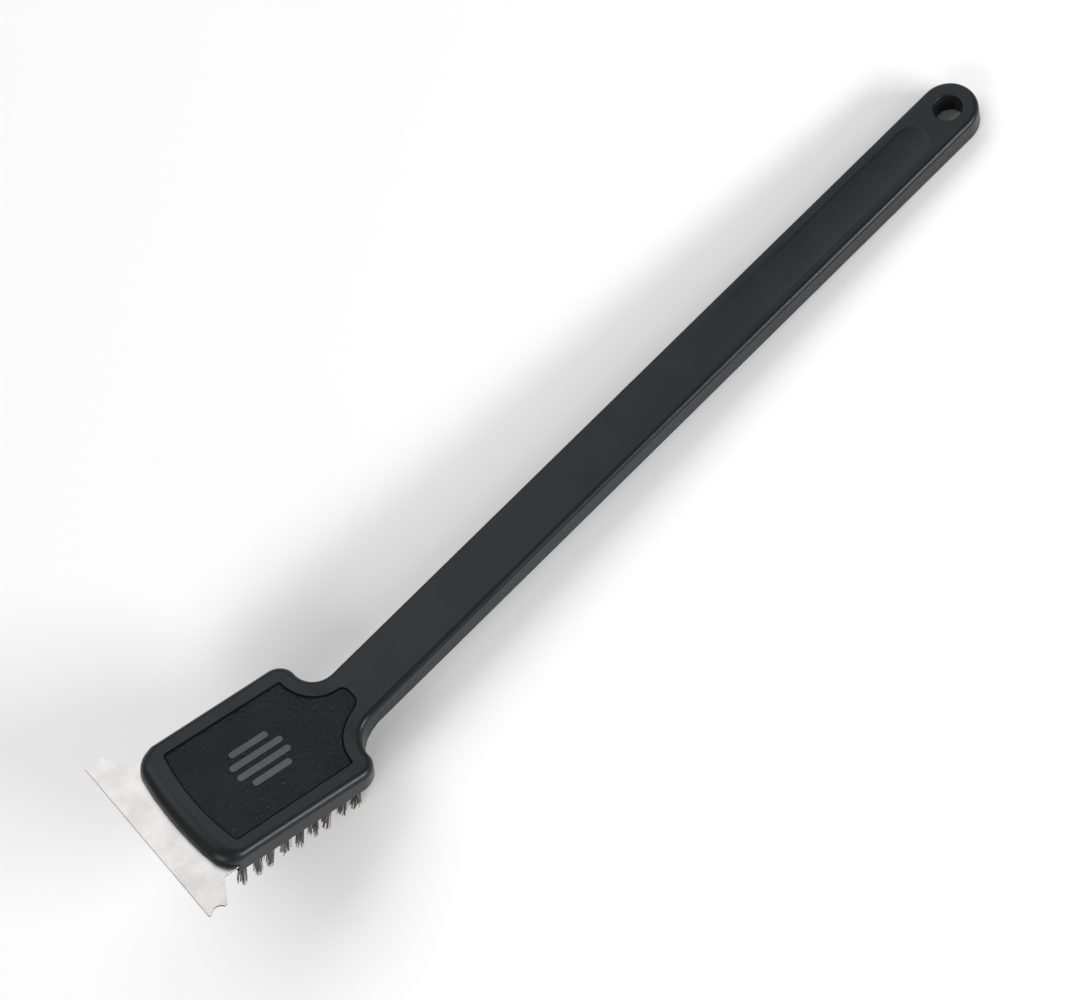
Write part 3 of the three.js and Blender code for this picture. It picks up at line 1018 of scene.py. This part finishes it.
def make_screw(name, x, y, turn):
    """Pan head with a domed face and a cross recess, and its shank."""
    skin = Skin()
    seat = BLOCK_BOTTOM + SCREW_HEAD_H
    steep = 2 * SCREW_DOME / SCREW_HEAD_R**2

    def height(p):
        return dome_height(math.hypot(p[0] - x, p[1] - y))

    mouth = cross_loop(x, y, turn)
    rims = [round_loop(x, y, r, SCREW_SIDES) for r in (SCREW_RING_R, SCREW_FLAT_R)]
    rings = []
    for loop in (*rims, mouth):
        normals = [(steep * (p[0] - x), steep * (p[1] - y), -1) for p in loop]
        rings.append((loop, [height(p) for p in loop], normals))
    fill(skin, rims[1], [mouth], rings)
    floor = [(x + (p[0] - x) * RECESS_FLOOR, y + (p[1] - y) * RECESS_FLOOR) for p in mouth]
    deep = BLOCK_BOTTOM + RECESS_DEPTH
    for i in range(len(mouth)):
        j = (i + 1) % len(mouth)
        a, b = mouth[i], mouth[j]
        wall = [(*a, height(a)), (*b, height(b)), (*floor[j], deep), (*floor[i], deep)]
        skin.face(wall, [(a[1] - b[1], b[0] - a[0], -0.5)] * 4)
    skin.face([(*p, deep) for p in floor], [DOWN] * len(floor))
    levels = []
    for a in (t * 18 * DEG for t in range(6)):
        r = SCREW_FLAT_R + (SCREW_HEAD_R - SCREW_FLAT_R) * math.sin(a)
        rise = SCREW_RIM_H * (1 - math.cos(a))
        levels.append((r, dome_height(SCREW_FLAT_R) + rise, (math.sin(a), -math.cos(a))))
    turned(skin, [*levels, (SCREW_HEAD_R, seat, (1, 0))], x, y, SCREW_SIDES)
    turned(skin, [(SCREW_HEAD_R, seat, (0, 1)), (SHANK_R, seat, (0, 1))], x, y, SCREW_SIDES)
    shank = [(SHANK_R, seat, (1, 0)), (SHANK_R, CONE_Z, (1, 0)), (POINT_R, POINT_Z, (1, 1))]
    turned(skin, shank, x, y, SCREW_SIDES)
    point = round_loop(x, y, POINT_R, SCREW_SIDES)
    skin.face([(*p, POINT_Z) for p in point], [UP] * SCREW_SIDES)
    piece = skin.build(name + "_pan_head", [zinc])
    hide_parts(name)
    return piece


# ---------------------------------------------------------------- wire tufts
WIRES = 30
WIRE_R = 0.15
WIRE_SIDES = 6
STATIONS = 7  # points along a wire
GOLDEN_ANGLE = 2.39996
GATHER = 0.5  # how much a clump closes up
DRIFT = 1.5  # how far it leans to its own side
FLARE_POWER = 1.35
STRAY_SHARE = 0.12
STRAY_REACH = 1.45
WAVE = 0.32
TRIM = 2.2  # most that a wire stays short of the tips
FLOOR_GAP = 0.02


def wire_path(x, y, w, clumps, lean, rng):
    """Points along one wire, from its root to its tip."""
    around = w * GOLDEN_ANGLE
    out = math.sqrt((w + 0.5) / WIRES)
    packed = out * (TUFT_ROOT_R - WIRE_R)
    root = (packed * math.cos(around), packed * math.sin(around))
    toward, pull = min(clumps, key=lambda c: abs(math.remainder(c[0] - around, 2 * math.pi)))
    flare = TUFT_TIP_R * rng.uniform(0.82, 1.0) - WIRE_R
    wide, aside = out * flare * (1 - pull * GATHER), pull * DRIFT * out
    tip = [
        wide * math.cos(around) + aside * math.cos(toward) + lean[0],
        wide * math.sin(around) + aside * math.sin(toward) + lean[1],
    ]
    if rng.random() < STRAY_SHARE:
        tip = [c * STRAY_REACH for c in tip]
    wave = (rng.uniform(-WAVE, WAVE), rng.uniform(-WAVE, WAVE), rng.uniform(0, 6.28))
    end = TUFT_TIP_Z + 0.02 + rng.random() ** 2 * TRIM
    path = []
    for k in range(STATIONS):
        t = k / (STATIONS - 1)
        e = t**FLARE_POWER
        wobble = math.sin(math.pi * t * 1.6 + wave[2]) * t
        px = x + root[0] + (tip[0] - root[0]) * e + wave[0] * wobble
        py = y + root[1] + (tip[1] - root[1]) * e + wave[1] * wobble
        pz = TUFT_ROOT_Z + (end - TUFT_ROOT_Z) * t
        lift = WIRE_R + FLOOR_GAP - to_row((px, py, pz))[2] / MM  # keeps it above the floor
        path.append((px, py, pz + max(lift, 0) / PITCH_COS))
    return path


def make_tuft(name, x, y, seed):
    """One bundle of wires: packed at its root, leaning apart in clumps towards trimmed tips."""
    rng = random.Random(seed)
    skin = Skin()
    clumps = [(rng.uniform(0, 2 * math.pi), rng.uniform(0.4, 0.9)) for _ in range(3)]
    lean = (rng.uniform(-0.35, 0.35), rng.uniform(-0.3, 0.3))
    sides = [(math.cos(a), math.sin(a), 0) for a in circle(WIRE_SIDES)]
    for w in range(WIRES):
        rows = []
        for px, py, pz in wire_path(x, y, w, clumps, lean, rng):
            rows.append(([(px + WIRE_R * c, py + WIRE_R * k, pz) for c, k, _ in sides], sides))
        skin.stack(rows)
        skin.face(rows[0][0], [UP] * WIRE_SIDES)
        skin.face(rows[-1][0], [DOWN] * WIRE_SIDES)
    piece = skin.build(name + "_wires", [wire_steel])
    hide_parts(name)
    return piece


# ---------------------------------------------------------------- everything
pieces = [make_moulding(), make_marking(), make_scraper(), make_block()]
for i, sx in enumerate(SCREW_X):
    for side in (1, -1):
        screw = f"screw_{'front' if i == 0 else 'rear'}_{'left' if side > 0 else 'right'}"
        pieces.append(make_screw(screw, sx, side * SCREW_Y, 0.4 + 0.7 * i + 0.5 * side))
for seed, (name, tx, ty) in enumerate(tuft_places()):
    pieces.append(make_tuft(name, tx, ty, seed + 1))
for piece in pieces:
    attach(piece, "root")


# ---------------------------------------------------------------- floor, light, camera
FLOOR_REACH = 3.0
HEAD_PLACE = Vector((-0.12, 0, 0.03))  # where the lights aim


def make_floor():
    mesh = bpy.data.meshes.new("floor")
    r = FLOOR_REACH
    mesh.from_pydata([(-r, -r, 0), (r, -r, 0), (r, r, 0), (-r, r, 0)], [], [(0, 1, 2, 3)])
    floor = bpy.data.objects.new("floor", mesh)
    bpy.context.scene.collection.objects.link(floor)
    material, _, shader = nodes_of("pale_floor")
    shader.inputs["Base Color"].default_value = (0.93, 0.93, 0.93, 1)
    shader.inputs["Roughness"].default_value = 0.9
    shader.inputs["Specular IOR Level"].default_value = 0.1
    mesh.materials.append(material)


def area_light(name, toward, distance, size, watts):
    """An area light at a distance from the head, in a direction, aimed at it."""
    lamp = bpy.data.lights.new(name, "AREA")
    lamp.shape = "RECTANGLE"
    lamp.size, lamp.size_y = size
    lamp.energy = watts
    obj = bpy.data.objects.new(name, lamp)
    way = Vector(unit(toward))
    obj.location = HEAD_PLACE + way * distance
    obj.rotation_euler = way.to_track_quat("Z", "Y").to_euler()
    bpy.context.scene.collection.objects.link(obj)


make_floor()
area_light("key", toward=(0.63, 0.50, 0.61), distance=1.6, size=(1.05, 0.75), watts=4.4)
area_light("side", toward=(0.52, -0.80, 0.32), distance=1.4, size=(0.8, 0.17), watts=17)
area_light("overhead", toward=(-0.06, 0.6, 0.8), distance=1.9, size=(1.5, 1.4), watts=12.5)
area_light("front", toward=(-0.8, -0.35, 0.55), distance=1.9, size=(1.2, 0.9), watts=14)

world = bpy.data.worlds.new("studio")
world.use_nodes = True
world.node_tree.nodes["Background"].inputs["Color"].default_value = (1, 1, 1, 1)
world.node_tree.nodes["Background"].inputs["Strength"].default_value = 0.3
bpy.context.scene.world = world
bpy.context.scene.view_settings.view_transform = "Standard"

lens = bpy.data.cameras.new("camera")
lens.lens = 74.6
lens.sensor_width = 36
camera = bpy.data.objects.new("camera", lens)
camera.location = (-0.04846, -0.36899, 0.85289)
camera.rotation_euler = [a * DEG for a in (18.51, 16.026, -43.145)]
bpy.context.scene.collection.objects.link(camera)
bpy.context.scene.camera = camera
